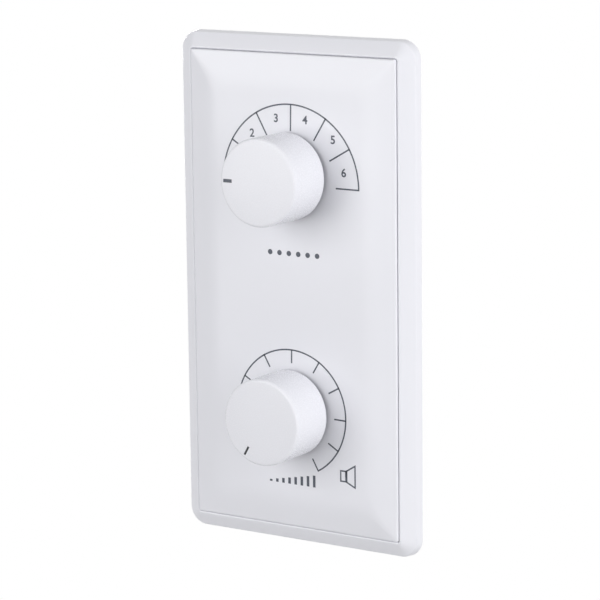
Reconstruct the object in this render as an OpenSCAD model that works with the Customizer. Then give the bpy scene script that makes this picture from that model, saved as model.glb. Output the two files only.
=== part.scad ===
// Two-gang wall controller: a six-way program selector above a volume control.
// Each control is an insert for its own wall box: a steel support ring carries the rotary
// part by its threaded bushing, with a small circuit board and wire terminals behind it.
// A two-gang frame and one bevelled cover plate close the front, clamped by a round nut
// on each bushing, and a push-on knob hides each nut.
//
// The modules are drawn with x to the right, y up the wall and z out of the wall.
// on_wall() turns that into the part's axes: +X right, +Z up, -Y towards the user.

/* [Frame] */
// Distance between the two controls, which is the pitch of the wall boxes
gang_pitch = 71; // [69:0.5:75]
// Room between the support rings and the frame's opening
ring_room = 0.45; // [0.4:0.05:2]
// Outer corner radius of the frame
corner_r = 5.9; // [5.8:0.1:9]
// Width of the sloping border, from the outer edge to the opening
border_w = 5.25; // [4.4:0.05:5.6]
// Height of the outer side wall, where the border starts to slope
side_h = 2.6; // [2.4:0.1:3.4]
// Height of the border at the opening
lip_h = 5.4; // [4.6:0.1:6]
// Draft of the outer side wall
side_draft = 0.35; // [0.1:0.05:0.5]
// Radius along the outer shoulder of the border
shoulder_r = 0.9; // [0.5:0.1:1.2]
// Radius along the inner edge of the border
lip_r = 0.5; // [0.2:0.05:0.6]
// Wall thickness of the frame
frame_wall = 1.6; // [1.4:0.1:1.8]
// Width of the ledge that the cover plate stands on
ledge_w = 2.6; // [2.2:0.1:3.2]
// Thickness of that ledge
ledge_t = 1.2; // [0.8:0.1:1.4]
// Thickness of the braces across the channel at the frame's back
brace_t = 1; // [0.8:0.1:1.4]
// Distance between those braces
brace_pitch = 22; // [12:1:30]

/* [Cover plate] */
// Gap all round between the cover plate and the frame
seam_gap = 0.12; // [0.1:0.02:0.6]
// Height of the plate's edge above the border
plate_proud = 0.2; // [0.1:0.05:0.8]
// Width of the bevel round the plate
bevel_w = 8.2; // [6:0.1:9.5]
// Drop of the bevel from the flat face to the plate's edge
bevel_drop = 1.55; // [0.8:0.05:2]
// Radius that softens the crease between bevel and face
crease_r = 30; // [8:1:40]
// Radius along the plate's outer edge
plate_edge_r = 0.5; // [0.1:0.05:0.8]
// Thickness of the plate
plate_t = 2; // [1.6:0.1:2.6]
// Thickness of the plate's skirt
skirt_t = 1.5; // [1.2:0.1:2]
// Thickness of the ribs under the plate
rib_t = 1; // [0.8:0.1:1.4]
// Depth of those ribs
rib_depth = 1.4; // [0.8:0.1:1.8]

/* [Knobs] */
// Diameter of a knob at its skirt
knob_d = 26.1; // [25:0.1:29]
// How much narrower a knob is at its face
knob_taper = 0.1; // [0.1:0.1:2]
// Length of a knob along its axis
knob_l = 15.5; // [14:0.1:18]
// Gap between a knob and the cover plate
knob_gap = 1.1; // [0.5:0.1:1.5]
// Radius round the edge of a knob's face
knob_edge_r = 0.8; // [0.4:0.1:1.5]
// Wall thickness of a knob
knob_wall = 1.6; // [1.2:0.1:2]
// Thickness of a knob's face
knob_face_t = 2; // [1.6:0.1:2.4]
// Outer diameter of the hub inside a knob
hub_d = 11; // [10:0.5:12]
// Number of ribs between the hub and the wall of a knob
knob_ribs = 6; // [4:1:8]
// Thickness of those ribs
knob_rib_t = 1; // [0.8:0.1:1.4]
// Length of the pointers that are let into the faces
pointer_l = 3.0; // [2:0.1:5]
// Width of the program pointer
program_pointer_w = 1.05; // [0.6:0.05:1.6]
// Width of the volume pointer
volume_pointer_w = 0.7; // [0.6:0.05:1.6]
// Distance of the pointers from the edge of the flat face
pointer_inset = 0.3; // [0.1:0.1:1.2]
// Depth of the pointers
pointer_t = 0.5; // [0.3:0.1:0.8]

/* [Support rings] */
// Thickness of the steel
ring_t = 1.2; // [1:0.1:1.5]
// Gap between the two rings
ring_gap = 0.4; // [0.2:0.1:1]
// Distance between the screws of one wall box
screw_pitch = 60; // [60:0.5:61]
// Width of a screw slot
slot_w = 3.6; // [3.4:0.1:4.2]
// Length of a screw slot
slot_l = 6; // [5:0.5:7]
// Side of the corner windows that lighten a ring
window_w = 12; // [8:0.5:13]
// Distance of those windows from the control's axis, sideways and upwards
window_at = 20; // [19:0.5:22]

/* [Rotary parts] */
// Diameter of the control shafts
shaft_d = 6; // [5.5:0.1:6.4]
// Height across the flat of a shaft's end
shaft_flat = 4.5; // [4.2:0.1:4.8]
// Thickness of the spring plate on the shaft's flat
grip_t = 0.5; // [0.3:0.1:0.6]
// Outer diameter of the threaded bushings
bushing_d = 10; // [9.5:0.1:10.4]
// Diameter of the switch and of the potentiometer
case_d = 25; // [24:0.5:27]
// Length of their cases, behind the flange
case_l = 8; // [7.6:0.2:10]
// Thickness of the bushing's flange
flange_t = 2; // [1.6:0.1:2.4]
// Side wall of the cases
case_wall = 1.5; // [1.2:0.1:1.6]
// Floor of the cases
floor_t = 1.6; // [1.2:0.1:2]
// Clicks in a whole turn of the program switch
clicks = 10; // [10:1:12]
// Positions of the program switch
positions = 6; // [4:1:6]
// Travel of the volume control in degrees
volume_travel = 300; // [270:5:300]

/* [Fasteners] */
// Width across the flats of the hex nut
nut_af = 14; // [13:0.5:14]
// Thickness of the hex nut
nut_t = 2; // [1.6:0.1:2]
// Diameter of the lock washer
washer_d = 15; // [13:0.5:15.5]
// Thickness of the lock washer
washer_t = 0.5; // [0.4:0.1:0.6]
// Diameter of the round cover nut
cover_nut_d = 17; // [15:0.5:18]
// Thickness of the round cover nut
cover_nut_t = 2.4; // [2:0.1:2.6]

/* [Boards] */
// Diameter of the circuit boards
board_d = 48; // [46:0.5:50]
// Height of the boards across their flats
board_h = 44; // [42:0.5:45]
// Thickness of the boards
board_t = 1.6; // [1.2:0.1:1.6]
// Gap between a case and its board
board_gap = 1; // [0.6:0.1:2]
// Distance of each spacer from the control's axis
spacer_x = 19; // [17.5:0.5:20]
// Width across the flats of the hex spacers
spacer_af = 5; // [4.5:0.5:6]
// Wire terminals on each board
poles = 3; // [2:1:3]
// Distance between the terminals
pole_pitch = 5; // [5:0.08:5.08]

/* [Hidden] */
$fn = 64;

// Clearances: running for a shaft in its bore, easy for pieces that only have to pass
running = 0.05;
easy = 0.3;
// Overlap that makes two shapes of one piece fuse
bite = 0.2;

// Frame and cover plate
ring_w = gang_pitch - ring_gap;
opening_w = ring_w + 2 * ring_room;
opening_h = opening_w + gang_pitch;
frame_w = opening_w + 2 * border_w;
frame_h = opening_h + 2 * border_w;
opening_r = corner_r - border_w;
ledge_z = ring_t + easy;
ledge_top = ledge_z + ledge_t;
plate_w = opening_w - 2 * seam_gap;
plate_h = opening_h - 2 * seam_gap;
plate_r = max(opening_r - seam_gap, bite);
plate_edge_z = lip_h + plate_proud;
face_z = plate_edge_z + bevel_drop;
under_z = face_z - plate_t;
boss_inner_d = max(nut_af / cos(30), washer_d) + 2 * easy;
boss_wall = 1.6;
ring_r = 3;
window_r = 2.5;
rib_room = 8;
rib_x = boss_inner_d / 2 + boss_wall + rib_room;

// Stack on each bushing, out of the wall
nut_z = ring_t + washer_t;
thread_past = 0.6;
bushing_top = face_z + cover_nut_t + thread_past;
clip_t = 0.6;
groove_depth = 0.5;
clip_rim = 1.5;
clip_d = shaft_d + 2 * clip_rim;
clip_mouth = shaft_d - 3 * groove_depth;
clip_z = bushing_top + running;
knob_z = face_z + knob_gap;
knob_face_d = knob_d - knob_taper;
hub_z = clip_z + clip_t + easy;
knob_top = knob_z + knob_l;
bore_top = knob_top - knob_face_t;
shaft_top = bore_top - easy;
flat_at = shaft_flat - shaft_d / 2;

// Inside of the cases, into the wall
cavity_r = case_d / 2 - case_wall;
floor_z = -flange_t - case_l + floor_t;
case_back = -flange_t - case_l;
tab_t = 0.8;
tab_w = 4;
index_room = 2.4;
wheel_r = cavity_r - index_room;
wheel_t = 2.2;
carrier_step = 1;
carrier_r = wheel_r - carrier_step;
carrier_t = 1.6;
rotor_top = -flange_t - easy;
carrier_z = rotor_top - wheel_t;
rotor_back = carrier_z - carrier_t;
lug_w = 2.6;
lug_r = cavity_r - 2 * easy;
post_w = 2;
post_r = wheel_r + easy;
lug_play = 1.5;
stop_angle = asin(lug_w / 2 / post_r) + asin(post_w / 2 / post_r) + lug_play;
scallop_r = 1.6;
scallop_depth = 0.6;
scallop_at = wheel_r + scallop_r - scallop_depth;
spring_t = 0.4;
spring_r = cavity_r - 2 * spring_t;
spring_h = 1.6;
spring_span = 100;
nose_room = 0.2;
nose_r = scallop_r - nose_room;

// Contacts on the floor of the cases
contact_inset = 0.6;
contact_r = wheel_r - contact_inset;
contact_d = 2.2;
contact_h = 0.7;
common_r = 4;
common_w = 1.2;
pin_d = 1;
contact_top = floor_z + contact_h;
track_w = 1.5;
track_past = 5;
track_gap = 360 - volume_travel - 2 * track_past;

// Locating peg of a bushing's flange in its ring
peg_d = 2.4;
peg_at = [0, peg_d - case_d / 2];

// Boards and what is on them
board_front = case_back - board_gap;
board_back = board_front - board_t;
pin_past = 1.2;
pin_end = board_back - pin_past;
screw_d = 3;
rivet_d = 3.2;
screw_head_d = 5.6;
screw_head_t = 2;
screw_depth = 6;
screw_room = 1;
block_end = 0.2;
block_w = poles * pole_pitch + 2 * block_end;
block_depth = 8.6;
block_l = 10.2;
block_room = 3.6;
block_y = contact_r + block_room;
block_chamfer = 0.8;
block_back = board_back - block_l;
entry_w = 3.6;
entry_l = 3.8;
entry_depth = 6.6;
entry_drop = 5.6;
entry_z = board_back - entry_drop;
clamp_t = 0.6;
clamp_depth = 4.2;
terminal_screw_d = 2.6;
terminal_head_d = 3.4;
terminal_head_t = 1.4;
terminal_slot = [0.7, 0.6];
clamp_room = 1.6;
terminal_y = block_y + block_depth - clamp_depth / 2 - clamp_room;
resistor = [3.2, 1.6, 0.6];
resistor_r = 13.6;

// Where the two controls are, and where their pointers stand at rest: both fully left
program_at = gang_pitch / 2;
volume_at = -gang_pitch / 2;
click_angle = 360 / clicks;
program_travel = (positions - 1) * click_angle;
program_rest = 90 + program_travel / 2;
volume_rest = 90 + volume_travel / 2;
program_pins = concat(
    [for (i = [0 : positions - 1]) polar(contact_r, program_rest - i * click_angle)],
    [polar(common_r, -90)]);
track_ends = [for (side = [-1, 1]) polar(contact_r, -90 + side * track_gap / 2)];
volume_pins = concat(track_ends, [polar(common_r, -90)]);
terminal_pins = [for (i = [0 : poles - 1]) [(i - (poles - 1) / 2) * pole_pitch, terminal_y]];
spacer_places = [[-spacer_x, 0], [spacer_x, 0]];

plastic_white = "#eeeef2";
knob_white = "#f4f4f8";
ink = "#3a3f4a";
steel = "#b9bcc0";
die_cast = "#a9adb2";
nickel = "#c9c4b4";
phenolic = "#2b2a2a";
moulded_black = "#26272a";
bronze = "#b98a4e";
carbon = "#3c3530";
board_green = "#2f6b45";
terminal_green = "#4f9a5b";
tin = "#cfd2d4";

// Helpers

function polar(r, angle) = r * [cos(angle), sin(angle)];

function unit(v) = v / norm(v);

// Points of an arc of radius r that rounds the corner b of an outline a, b, c
function rounded(a, b, c, r, steps = 4) =
    let (
        u = unit(a - b),
        w = unit(c - b),
        half = acos(u * w) / 2,
        centre = b + unit(u + w) * r / sin(half),
        from = b + u * r / tan(half) - centre,
        to = b + w * r / tan(half) - centre,
        start = atan2(from.y, from.x),
        turn = atan2(from.x * to.y - from.y * to.x, from * to)
    )
    [for (i = [0 : steps]) centre + polar(r, start + turn * i / steps)];

module on_wall() {
    rotate([90, 0, 0]) children();
}

module at_program() {
    on_wall() translate([0, program_at, 0]) children();
}

module at_volume() {
    on_wall() translate([0, volume_at, 0]) children();
}

// A bar that reaches from z0 to z1, whichever way round they are given
module rod(d, z0, z1) {
    translate([0, 0, min(z0, z1)]) cylinder(d = d, h = abs(z1 - z0));
}

module tube(d, bore, z0, z1) {
    difference() {
        rod(d, z0, z1);
        rod(bore, min(z0, z1) - 1, max(z0, z1) + 1);
    }
}

module slab(z0, z1) {
    translate([0, 0, min(z0, z1)]) linear_extrude(abs(z1 - z0)) children();
}

module rounded_square(size, r) {
    square([size.x - 2 * r, size.y], center = true);
    square([size.x, size.y - 2 * r], center = true);
    for (x = [-1, 1], y = [-1, 1])
        translate([x * (size.x / 2 - r), y * (size.y / 2 - r)]) circle(r);
}

module slot(length, width) {
    square([length - width, width], center = true);
    for (side = [-1, 1])
        translate([side * (length - width) / 2, 0]) circle(d = width);
}

// Frame: one border section carried round the rounded rectangle, with a ledge inside

module border_outline() {
    foot = [0, 0];
    shoulder = [side_draft, side_h];
    lip = [border_w, lip_h];
    heel = [border_w, 0];
    polygon(concat(
        [foot],
        rounded(foot, shoulder, lip, shoulder_r),
        rounded(shoulder, lip, heel, lip_r),
        [heel]));
}

module border_section() {
    channel_top = side_h - frame_wall / 2;
    difference() {
        border_outline();
        polygon([
            [frame_wall, -1],
            [frame_wall + side_draft, channel_top],
            [border_w - frame_wall, channel_top],
            [border_w - frame_wall, -1]]);
    }
}

// A straight run of the border along the side that faces +x, with braces across its channel
module border_run(length) {
    braces = floor(length / brace_pitch);
    rotate([90, 0, 0]) linear_extrude(length, center = true) mirror([1, 0]) border_section();
    for (i = [0 : braces - 1]) translate([0, (i - (braces - 1) / 2) * brace_pitch, 0])
        rotate([90, 0, 0]) linear_extrude(brace_t, center = true) mirror([1, 0]) border_outline();
}

module border_corner() {
    rotate_extrude(angle = 90) translate([corner_r, 0]) mirror([1, 0]) border_section();
}

module surround_frame() {
    color(plastic_white) on_wall() {
        for (side = [0, 180]) rotate(side) {
            translate([frame_w / 2, 0, 0]) border_run(frame_h - 2 * corner_r);
            translate([0, frame_h / 2, 0]) rotate(90) border_run(frame_w - 2 * corner_r);
            translate([frame_w / 2 - corner_r, frame_h / 2 - corner_r, 0]) border_corner();
            translate([corner_r - frame_w / 2, frame_h / 2 - corner_r, 0]) rotate(90) border_corner();
        }
        slab(ledge_z, ledge_top) difference() {
            rounded_square([opening_w + frame_wall, opening_h + frame_wall], opening_r + frame_wall / 2);
            square([opening_w - 2 * ledge_w, opening_h - 2 * ledge_w], center = true);
        }
    }
}

// Cover plate: a shallow tray with a bevelled face

// Section of the plate across a side that is width long, from z0 up
module plate_section(width, z0, lower = 0) {
    foot = [width / 2, z0];
    edge = [width / 2, plate_edge_z - lower];
    crease = [width / 2 - bevel_w, face_z - lower];
    right = concat(
        [foot],
        rounded(foot, edge, crease, plate_edge_r),
        rounded(edge, crease, [0, crease.y], crease_r));
    polygon(concat(right, [for (i = [len(right) - 1 : -1 : 0]) [-right[i].x, right[i].y]]));
}

module plate_form(size, z0, lower = 0) {
    intersection() {
        rotate([90, 0, 0]) linear_extrude(size.y, center = true) plate_section(size.x, z0, lower);
        rotate([90, 0, 90]) linear_extrude(size.x, center = true) plate_section(size.y, z0, lower);
    }
}

module cover_plate() {
    color(plastic_white) on_wall() difference() {
        union() {
            intersection() {
                plate_form([plate_w, plate_h], ledge_top);
                slab(0, face_z + 1) rounded_square([plate_w, plate_h], plate_r);
            }
            for (y = [program_at, volume_at])
                translate([0, y, 0]) rod(boss_inner_d + 2 * boss_wall, ring_t, under_z);
        }
        difference() {
            plate_form([plate_w - 2 * skirt_t, plate_h - 2 * skirt_t], 0, plate_t);
            for (y = [program_at, volume_at])
                translate([0, y, 0]) tube(boss_inner_d + 2 * boss_wall, boss_inner_d, ring_t, face_z);
            slab(under_z - rib_depth, face_z) difference() {
                for (x = [-rib_x, rib_x]) translate([x, 0]) square([rib_t, plate_h], center = true);
                for (y = [program_at, volume_at]) translate([0, y]) circle(d = boss_inner_d + boss_wall);
            }
            slab(under_z - rib_depth, face_z) square([plate_w, rib_t], center = true);
        }
        for (y = [program_at, volume_at])
            translate([0, y, 0]) rod(bushing_d + 2 * easy, 0, face_z + 1);
    }
}

// Pieces of both inserts

module support_ring() {
    color(steel) slab(0, ring_t) difference() {
        rounded_square([ring_w, ring_w], ring_r);
        circle(d = bushing_d + 2 * running);
        translate(peg_at) circle(d = peg_d + 2 * running);
        for (quarter = [0 : 3]) rotate(90 * quarter) {
            translate([screw_pitch / 2, 0]) slot(slot_l, slot_w);
            translate([window_at, window_at]) rounded_square([window_w, window_w], window_r);
        }
        for (place = spacer_places) translate(place) circle(d = rivet_d);
    }
}

// Four tabs at the rim of a case, which fold into notches of the bushing's flange
module tabs(outer, inner, width, z0, z1) {
    intersection() {
        tube(outer, inner, z0, z1);
        for (quarter = [0 : 3]) rotate(45 + 90 * quarter)
            translate([0, -width / 2, z0]) cube([outer, width, z1 - z0]);
    }
}

module bushing() {
    color(die_cast) difference() {
        union() {
            rod(case_d, -flange_t, 0);
            rod(bushing_d, -flange_t, bushing_top);
            translate(peg_at) rod(peg_d, -flange_t / 2, ring_t - easy);
        }
        rod(shaft_d + 2 * running, -flange_t - 1, bushing_top + 1);
        tabs(case_d + 2, case_d - 2 * (tab_t + running), tab_w + 2 * running, -flange_t - 1, 1);
    }
}

module lock_washer() {
    teeth = 12;
    tooth_gap = [2, 1];
    color(steel) slab(ring_t, ring_t + washer_t) difference() {
        circle(d = washer_d);
        circle(d = bushing_d + 4 * easy);
        for (i = [0 : teeth - 1]) rotate(i * 360 / teeth)
            translate([bushing_d / 2 + easy, 0]) square(tooth_gap, center = true);
    }
}

module hex_nut() {
    color(nickel) difference() {
        translate([0, 0, nut_z]) cylinder(d = nut_af / cos(30), h = nut_t, $fn = 6);
        rod(bushing_d, 0, nut_z + nut_t + 1);
    }
}

module cover_nut() {
    notch = [2.4, 1.6];
    color(nickel) difference() {
        rod(cover_nut_d, face_z, face_z + cover_nut_t);
        rod(bushing_d, 0, bushing_top);
        for (side = [0, 180]) rotate(side)
            translate([cover_nut_d / 2, 0, face_z + cover_nut_t])
                cube([2 * notch.x, notch.y, notch.y], center = true);
    }
}

// Case of the switch and of the potentiometer, with posts that stop the rotor's lug
module rotary_case(shade, pins, rest, travel) {
    lug_rest = rest + 180;
    color(shade) difference() {
        union() {
            tube(case_d, 2 * cavity_r, case_back, -flange_t);
            rod(case_d, case_back, floor_z);
            tabs(case_d, case_d - 2 * tab_t, tab_w, -flange_t - bite, -running);
            for (angle = [lug_rest + stop_angle, lug_rest - travel - stop_angle]) rotate(angle)
                translate([post_r, -post_w / 2, floor_z - bite])
                    cube([cavity_r + bite - post_r, post_w, carrier_z - easy - floor_z + bite]);
        }
        for (pin = pins) translate(pin) rod(pin_d + 2 * running, case_back - 1, floor_z + 1);
    }
}

module board(pins) {
    color(board_green) slab(board_back, board_front) difference() {
        intersection() {
            circle(d = board_d);
            square([board_d, board_h], center = true);
        }
        for (pin = concat(pins, terminal_pins)) translate(pin) circle(d = pin_d + easy);
        for (place = spacer_places) translate(place) circle(d = screw_d + easy);
    }
}

module spacers() {
    color(nickel) for (place = spacer_places) translate(place) difference() {
        union() {
            translate([0, 0, board_front]) cylinder(d = spacer_af / cos(30), h = -board_front, $fn = 6);
            rod(rivet_d, -bite, ring_t);
        }
        rod(screw_d, board_front - 1, board_front + screw_depth);
    }
}

module board_screws() {
    recess = [3.4, 0.8];
    color(steel) for (place = spacer_places) translate(place) {
        rod(screw_d, board_back - bite, board_front + screw_depth - screw_room);
        difference() {
            rod(screw_head_d, board_back - screw_head_t, board_back);
            for (turn = [0, 90]) rotate(turn) translate([0, 0, board_back - screw_head_t])
                cube([recess.x, recess.y, screw_head_t], center = true);
        }
    }
}

module terminal_block() {
    color(terminal_green) difference() {
        translate([-block_w / 2, block_y, block_back]) cube([block_w, block_depth, block_l]);
        for (pin = terminal_pins) translate([pin.x, 0, 0]) {
            translate([-entry_w / 2, block_y + block_depth - entry_depth, entry_z - entry_l / 2])
                cube([entry_w, entry_depth + 1, entry_l]);
            translate([0, terminal_y, 0]) {
                rod(terminal_head_d + easy, block_back - 1, entry_z);
                rod(pin_d + 2 * running, entry_z, board_back + 1);
            }
        }
        for (side = [-1, 1]) translate([side * block_w / 2, block_y, block_back])
            rotate(45) cube([block_chamfer, block_chamfer, 2 * block_l], center = true);
    }
}

module terminal_clamps() {
    size = [entry_w - 2 * running, clamp_depth, entry_l - 2 * running];
    color(tin) for (pin = terminal_pins) translate([pin.x, terminal_y, 0]) {
        difference() {
            translate([0, 0, entry_z]) cube(size, center = true);
            translate([0, 0, entry_z]) cube(size - [2 * clamp_t, -1, 2 * clamp_t], center = true);
            rod(terminal_screw_d, entry_z, block_back);
        }
        rod(pin_d, entry_z + size.z / 2 - clamp_t, board_front + pin_past);
    }
}

module terminal_screws() {
    head_z = entry_z - entry_l / 2;
    color(tin) for (pin = terminal_pins) translate([pin.x, terminal_y, 0]) difference() {
        union() {
            rod(terminal_head_d, head_z - terminal_head_t, head_z);
            rod(terminal_screw_d, head_z - bite, entry_z);
        }
        translate([0, 0, head_z - terminal_head_t])
            cube([terminal_head_d + 1, terminal_slot.x, 2 * terminal_slot.y], center = true);
    }
}

// Pieces that turn with a knob, drawn with the pointer along +x

module knob(pointer_w) {
    base = [knob_d / 2, 0];
    rim = [knob_face_d / 2, knob_l];
    color(knob_white) difference() {
        translate([0, 0, knob_z]) rotate_extrude()
            polygon(concat([[0, 0], base], rounded(base, rim, [0, knob_l], knob_edge_r, 6), [[0, knob_l]]));
        difference() {
            translate([0, 0, knob_z]) rotate_extrude() polygon([
                [0, -1],
                [knob_d / 2 - knob_wall, -1],
                [knob_face_d / 2 - knob_wall, knob_l - knob_face_t],
                [0, knob_l - knob_face_t]]);
            rod(hub_d, hub_z, knob_top);
            for (i = [0 : knob_ribs - 1]) rotate((i + 0.5) * 360 / knob_ribs)
                translate([hub_d / 2 - bite, -knob_rib_t / 2, hub_z + easy])
                    cube([knob_d / 2, knob_rib_t, knob_l]);
        }
        shaft_bore(flat_at + grip_t);
        pointer_space(pointer_w);
    }
}

// Bore for a shaft's end whose flat, on the side away from the pointer, lies at that distance
module shaft_bore(flat) {
    intersection() {
        rod(shaft_d, hub_z - 1, bore_top);
        translate([-flat, -shaft_d, hub_z - 2]) cube([shaft_d + flat, 2 * shaft_d, knob_l + 4]);
    }
}

module pointer_space(pointer_w) {
    translate([knob_face_d / 2 - knob_edge_r - pointer_inset - pointer_l, -pointer_w / 2, knob_top - pointer_t])
        cube([pointer_l, pointer_w, pointer_t + 1]);
}

module pointer(pointer_w) {
    color(ink) intersection() {
        pointer_space(pointer_w);
        rod(knob_d, knob_z, knob_top);
    }
}

module knob_grip() {
    half = sqrt(pow(shaft_d / 2, 2) - pow(flat_at + grip_t, 2));
    color(steel) translate([-flat_at - grip_t, -half, hub_z]) cube([grip_t, 2 * half, shaft_top - hub_z]);
}

module shaft() {
    color(steel) difference() {
        rod(shaft_d, rotor_back, shaft_top);
        translate([-flat_at - shaft_d, -shaft_d, hub_z - easy]) cube([shaft_d, 2 * shaft_d, shaft_top]);
        tube(shaft_d + 1, shaft_d - 2 * groove_depth, clip_z, clip_z + clip_t);
    }
}

module shaft_clip() {
    color(steel) difference() {
        rod(clip_d, clip_z, clip_z + clip_t);
        rod(shaft_d - 2 * groove_depth, clip_z - 1, clip_z + clip_t + 1);
        translate([0, -clip_mouth / 2, clip_z - 1]) cube([clip_d, clip_mouth, clip_t + 2]);
    }
}

// Rotor on the shaft, with the lug that stops against the case's posts
module rotor(scallops) {
    color(moulded_black) difference() {
        union() {
            rod(2 * wheel_r, carrier_z, rotor_top);
            rod(2 * carrier_r, rotor_back, carrier_z);
            translate([-lug_r, -lug_w / 2, rotor_back])
                cube([lug_r - common_r, lug_w, carrier_t]);
        }
        rod(shaft_d, rotor_back - 1, rotor_top + 1);
        for (i = [0 : 1 : scallops - 1]) rotate((i + 0.5) * 360 / scallops)
            translate([scallop_at, 0, 0]) rod(2 * scallop_r, carrier_z, rotor_top + 1);
    }
}

module wiper() {
    wiper_t = 0.4;
    bump_d = 1.4;
    color(bronze) {
        translate([common_r - common_w, -bump_d / 2, rotor_back - wiper_t])
            cube([contact_r + bump_d / 2 - common_r + common_w, bump_d, wiper_t]);
        for (r = [common_r, contact_r])
            translate([r, 0, 0]) rod(bump_d, rotor_back - wiper_t, contact_top + running);
    }
}

// Pieces of the program switch alone

module program_index_spring() {
    nose_angle = program_rest + click_angle / 2 + 3 * click_angle;
    spring_z = (rotor_top + carrier_z - spring_h) / 2;
    foot_angle = 2;
    color(steel) at_program() rotate(nose_angle) {
        translate([0, 0, spring_z]) rotate(-spring_span / 2) rotate_extrude(angle = spring_span)
            translate([spring_r, 0]) square([spring_t, spring_h]);
        for (side = [-1, 1]) rotate(side * (spring_span / 2 - foot_angle))
            translate([spring_r, -spring_t / 2, spring_z]) cube([cavity_r - spring_r, spring_t, spring_h]);
        intersection() {
            translate([scallop_at, 0, 0])
                tube(2 * nose_r, 2 * (nose_r - spring_t), spring_z, spring_z + spring_h);
            rod(2 * spring_r + spring_t, carrier_z, rotor_top);
        }
    }
}

module contact_pins(places) {
    for (place = places) translate(place) {
        rod(contact_d, floor_z, contact_top);
        rod(pin_d, pin_end, floor_z + bite);
    }
}

module program_contacts() {
    color(bronze) at_program()
        contact_pins([for (i = [0 : positions - 1]) program_pins[i]]);
}

module common_ring() {
    color(bronze) {
        tube(2 * common_r + common_w, 2 * common_r - common_w, floor_z, contact_top);
        translate(polar(common_r, -90)) rod(pin_d, pin_end, floor_z + bite);
    }
}

module program_resistors() {
    color(moulded_black) at_program() for (i = [1 : positions - 1])
        rotate(180 + i * 180 / positions) translate([resistor_r, 0, board_back - resistor.z / 2])
            cube([resistor.y, resistor.x, resistor.z], center = true);
}

// Pieces of the volume control alone

module volume_track() {
    color(carbon) at_volume() {
        rotate(track_gap / 2 - 90) translate([0, 0, floor_z]) rotate_extrude(angle = 360 - track_gap)
            translate([contact_r - track_w / 2, 0]) square([track_w, contact_h]);
        contact_pins(track_ends);
    }
}

surround_frame();
cover_plate();

at_program() support_ring();  // program_support_ring
at_program() bushing();  // program_bushing
at_program() lock_washer();  // program_washer
at_program() hex_nut();  // program_nut
at_program() cover_nut();  // program_cover_nut
at_program() rotary_case(phenolic, program_pins, program_rest, program_travel);  // program_switch_case
program_index_spring();
program_contacts();
at_program() common_ring();  // program_common
at_program() board(program_pins);  // program_board
at_program() spacers();  // program_spacers
at_program() board_screws();  // program_board_screws
program_resistors();
at_program() terminal_block();  // program_terminal_block
at_program() terminal_clamps();  // program_terminal_clamps
at_program() terminal_screws();  // program_terminal_screws
at_program() rotate(program_rest) knob(program_pointer_w);  // program_knob
at_program() rotate(program_rest) pointer(program_pointer_w);  // program_pointer
at_program() rotate(program_rest) knob_grip();  // program_knob_grip
at_program() rotate(program_rest) shaft();  // program_shaft
at_program() rotate(program_rest) shaft_clip();  // program_shaft_clip
at_program() rotate(program_rest) rotor(clicks);  // program_rotor
at_program() rotate(program_rest) wiper();  // program_wiper

at_volume() support_ring();  // volume_support_ring
at_volume() bushing();  // volume_bushing
at_volume() lock_washer();  // volume_washer
at_volume() hex_nut();  // volume_nut
at_volume() cover_nut();  // volume_cover_nut
at_volume() rotary_case(die_cast, volume_pins, volume_rest, volume_travel);  // volume_case
volume_track();
at_volume() common_ring();  // volume_collector
at_volume() board(volume_pins);  // volume_board
at_volume() spacers();  // volume_spacers
at_volume() board_screws();  // volume_board_screws
at_volume() terminal_block();  // volume_terminal_block
at_volume() terminal_clamps();  // volume_terminal_clamps
at_volume() terminal_screws();  // volume_terminal_screws
at_volume() rotate(volume_rest) knob(volume_pointer_w);  // volume_knob
at_volume() rotate(volume_rest) pointer(volume_pointer_w);  // volume_pointer
at_volume() rotate(volume_rest) knob_grip();  // volume_knob_grip
at_volume() rotate(volume_rest) shaft();  // volume_shaft
at_volume() rotate(volume_rest) shaft_clip();  // volume_shaft_clip
at_volume() rotate(volume_rest) rotor(0);  // volume_rotor
at_volume() rotate(volume_rest) wiper();  // volume_wiper
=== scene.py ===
# %% [markdown]
# # A wall controller with two dials
# The controller fills two wall boxes: a six-way program dial above a volume dial, behind one white frame.
# The measured solids come in first, as a fixed frame that nothing here moves. Everything after that is
# looks: smoother skins for the moulded pieces, the print on the plate, solder on the boards and a finish
# for every surface. Reading the solids' own boxes keeps each new piece exactly where the solid is.

# %% Load the solids
import bpy
import bmesh
import math
from mathutils import Matrix, Vector


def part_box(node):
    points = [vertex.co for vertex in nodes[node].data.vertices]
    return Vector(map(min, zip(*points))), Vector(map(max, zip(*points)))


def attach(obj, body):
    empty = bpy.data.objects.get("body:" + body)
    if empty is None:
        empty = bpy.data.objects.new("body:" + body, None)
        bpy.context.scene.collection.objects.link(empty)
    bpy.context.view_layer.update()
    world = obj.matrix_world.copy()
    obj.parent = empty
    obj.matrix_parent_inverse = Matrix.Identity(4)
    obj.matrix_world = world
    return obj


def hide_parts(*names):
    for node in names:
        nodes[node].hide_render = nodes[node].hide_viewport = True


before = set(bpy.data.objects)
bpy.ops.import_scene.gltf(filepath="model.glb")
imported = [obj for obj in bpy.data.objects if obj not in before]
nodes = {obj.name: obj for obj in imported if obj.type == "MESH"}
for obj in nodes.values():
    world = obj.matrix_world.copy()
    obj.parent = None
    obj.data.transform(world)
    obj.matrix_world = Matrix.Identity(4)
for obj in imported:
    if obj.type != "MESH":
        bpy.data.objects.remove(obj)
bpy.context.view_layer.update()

# %% [markdown]
# ## Drawing axes
# A wall plate is easiest to draw flat: x to the right, y up the wall and z out of the wall, in millimetres.
# One matrix then stands the drawing up on the wall and turns it into metres, so every piece is drawn the
# same way and finished pieces stay at the origin with their place in the mesh.

# %% From the drawing to the wall
MM = 0.001
ON_WALL = Matrix.Rotation(math.radians(90), 4, "X") @ Matrix.Scale(MM, 4)


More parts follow.
